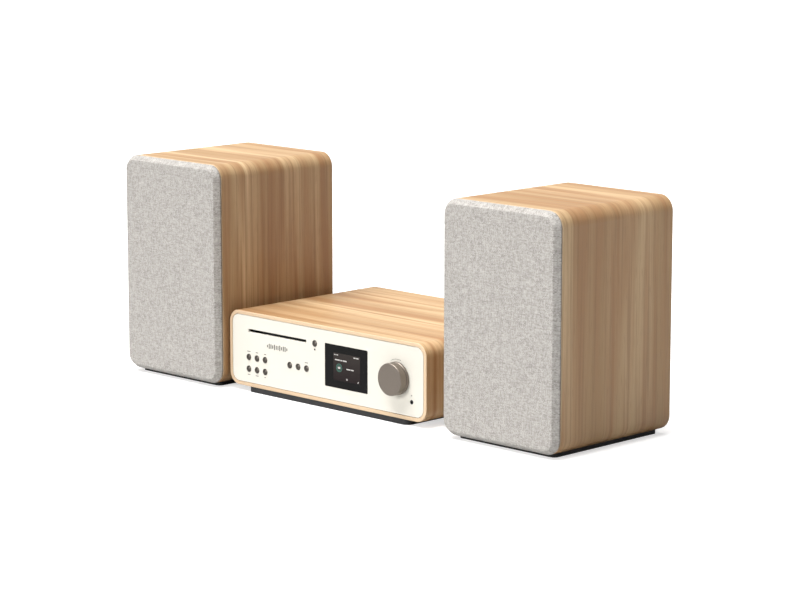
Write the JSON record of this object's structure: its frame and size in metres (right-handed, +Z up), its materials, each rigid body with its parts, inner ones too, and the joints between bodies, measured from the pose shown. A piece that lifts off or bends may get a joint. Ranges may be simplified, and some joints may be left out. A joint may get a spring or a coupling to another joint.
{
  "type": "mini hifi system",
  "caption": "Wooden-cased disc player with screen, buttons and volume knob, between two veneered loudspeakers with pull-off cloth grilles.",
  "frame": {"origin": "on the surface the set stands on, under the middle of its overall box", "axes": "+X along the front from left to right, +Y from the front to the back, +Z up"},
  "size_m": [0.907, 0.3254, 0.3431],
  "materials": {
    "veneer": "satin light oak veneer",
    "cream_plastic": "fine satin moulding",
    "black_plastic": "fine textured moulding",
    "steel": "plain sheet",
    "black_glass": "polished black pane",
    "screen": "colour screen",
    "clear_plastic": "smoked clear",
    "circuit_board": "green lacquered board",
    "dark_metal": "smoked bright plating",
    "knob_metal": "satin bronze-grey anodised",
    "aluminium": "extruded",
    "laser_plastic": "moulded",
    "rubber": "matt",
    "brass": "plated",
    "mdf": "black painted fibreboard",
    "grille_cloth": "woven light grey melange",
    "driver_metal": "black painted",
    "cone_paper": "coated paper",
    "tweeter": "moulded with a silk dome"
  },
  "bodies": {
    "unit": {"unit_cabinet": "veneer", "unit_plinth": "black_plastic", "base_tray": "steel", "front_panel": "cream_plastic", "rear_panel": "steel", "display_window": "black_glass", "display_module": "screen", "status_lens": "clear_plastic", "headphone_socket": "black_plastic", "front_board": "circuit_board", "encoder_body": "steel", "deck_frame": "steel", "deck_motors": "black_plastic", "main_board": "circuit_board", "heatsink": "aluminium", "power_board": "circuit_board", "mains_inlet": "black_plastic", "rear_sockets": "brass", "speaker_outputs": "black_plastic", "unit_screws": "steel"},
    "encoder_shaft": {"encoder_shaft": "steel"},
    "volume_knob": {"volume_knob": "knob_metal"},
    "disc_hub": {"disc_hub": "black_plastic"},
    "laser_sled": {"laser_sled": "laser_plastic"},
    "lead_screw": {"lead_screw": "steel"},
    "loading_roller": {"loading_roller": "rubber"},
    "power_button": {"power_button": "dark_metal"},
    "source_button": {"source_button": "dark_metal"},
    "favourite_button": {"favourite_button": "dark_metal"},
    "info_button": {"info_button": "dark_metal"},
    "menu_button": {"menu_button": "dark_metal"},
    "back_button": {"back_button": "dark_metal"},
    "previous_button": {"previous_button": "dark_metal"},
    "play_button": {"play_button": "dark_metal"},
    "next_button": {"next_button": "dark_metal"},
    "eject_button": {"eject_button": "dark_metal"},
    "left_speaker": {"left_cabinet": "veneer", "left_plinth": "black_plastic", "left_baffle": "mdf", "left_woofer_frame": "driver_metal", "left_woofer_surround": "rubber", "left_tweeter": "tweeter", "left_crossover": "circuit_board", "left_terminals": "black_plastic", "left_screws": "steel"},
    "left_grille": {"left_grille_frame": "mdf", "left_grille_cloth": "grille_cloth"},
    "left_cone": {"left_woofer_cone": "cone_paper"},
    "right_speaker": {"right_cabinet": "veneer", "right_plinth": "black_plastic", "right_baffle": "mdf", "right_woofer_frame": "driver_metal", "right_woofer_surround": "rubber", "right_tweeter": "tweeter", "right_crossover": "circuit_board", "right_terminals": "black_plastic", "right_screws": "steel"},
    "right_grille": {"right_grille_frame": "mdf", "right_grille_cloth": "grille_cloth"},
    "right_cone": {"right_woofer_cone": "cone_paper"}
  },
  "joints": [
    {"name": "power_button_press", "type": "slide", "parent": "unit", "child": "power_button", "axis": [0, 1, 0], "range_m": [0, 0.0008], "stiffness_N_per_m": 900},
    {"name": "source_button_press", "type": "slide", "parent": "unit", "child": "source_button", "axis": [0, 1, 0], "range_m": [0, 0.0008], "stiffness_N_per_m": 900},
    {"name": "favourite_button_press", "type": "slide", "parent": "unit", "child": "favourite_button", "axis": [0, 1, 0], "range_m": [0, 0.0008], "stiffness_N_per_m": 900},
    {"name": "info_button_press", "type": "slide", "parent": "unit", "child": "info_button", "axis": [0, 1, 0], "range_m": [0, 0.0008], "stiffness_N_per_m": 900},
    {"name": "menu_button_press", "type": "slide", "parent": "unit", "child": "menu_button", "axis": [0, 1, 0], "range_m": [0, 0.0008], "stiffness_N_per_m": 900},
    {"name": "back_button_press", "type": "slide", "parent": "unit", "child": "back_button", "axis": [0, 1, 0], "range_m": [0, 0.0008], "stiffness_N_per_m": 900},
    {"name": "previous_button_press", "type": "slide", "parent": "unit", "child": "previous_button", "axis": [0, 1, 0], "range_m": [0, 0.0008], "stiffness_N_per_m": 900},
    {"name": "play_button_press", "type": "slide", "parent": "unit", "child": "play_button", "axis": [0, 1, 0], "range_m": [0, 0.0008], "stiffness_N_per_m": 900},
    {"name": "next_button_press", "type": "slide", "parent": "unit", "child": "next_button", "axis": [0, 1, 0], "range_m": [0, 0.0008], "stiffness_N_per_m": 900},
    {"name": "eject_button_press", "type": "slide", "parent": "unit", "child": "eject_button", "axis": [0, 1, 0], "range_m": [0, 0.0008], "stiffness_N_per_m": 900},
    {"name": "knob_press", "type": "slide", "parent": "unit", "child": "encoder_shaft", "axis": [0, 1, 0], "range_m": [0, 0.0006], "stiffness_N_per_m": 4000},
    {"name": "knob_turn", "type": "hinge", "parent": "encoder_shaft", "child": "volume_knob", "pos_m": [0.1293, -0.1498, 0.0672], "axis": [0, 1, 0], "continuous": true},
    {"name": "disc_turn", "type": "hinge", "parent": "unit", "child": "disc_hub", "pos_m": [-0.1261, -0.053, 0.0914], "axis": [0, 0, 1], "continuous": true},
    {"name": "sled_slide", "type": "slide", "parent": "unit", "child": "laser_sled", "axis": [0, 1, 0], "range_m": [0, 0.034]},
    {"name": "lead_screw_turn", "type": "hinge", "parent": "unit", "child": "lead_screw", "pos_m": [-0.1001, -0.029, 0.082], "axis": [0, 1, 0], "range_deg": [-30, 4110]},
    {"name": "roller_turn", "type": "hinge", "parent": "unit", "child": "loading_roller", "pos_m": [-0.1261, -0.114, 0.0888], "axis": [1, 0, 0], "continuous": true},
    {"name": "left_speaker_place", "type": "slide", "parent": "unit", "child": "left_speaker", "axis": [-1, 0, 0], "range_m": [0, 0.15]},
    {"name": "left_grille_pull", "type": "slide", "parent": "left_speaker", "child": "left_grille", "axis": [0, -1, 0], "range_m": [0, 0.06]},
    {"name": "left_cone_stroke", "type": "slide", "parent": "left_speaker", "child": "left_cone", "axis": [0, -1, 0], "range_m": [-0.003, 0.003], "stiffness_N_per_m": 1200, "deforming": ["left_woofer_surround"]},
    {"name": "right_speaker_place", "type": "slide", "parent": "unit", "child": "right_speaker", "axis": [1, 0, 0], "range_m": [0, 0.15]},
    {"name": "right_grille_pull", "type": "slide", "parent": "right_speaker", "child": "right_grille", "axis": [0, -1, 0], "range_m": [0, 0.06]},
    {"name": "right_cone_stroke", "type": "slide", "parent": "right_speaker", "child": "right_cone", "axis": [0, -1, 0], "range_m": [-0.003, 0.003], "stiffness_N_per_m": 1200, "deforming": ["right_woofer_surround"]}
  ],
  "couplings": [
    {"joint": "lead_screw_turn", "follows": "sled_slide", "rad_per_m": 2094.4}
  ]
}
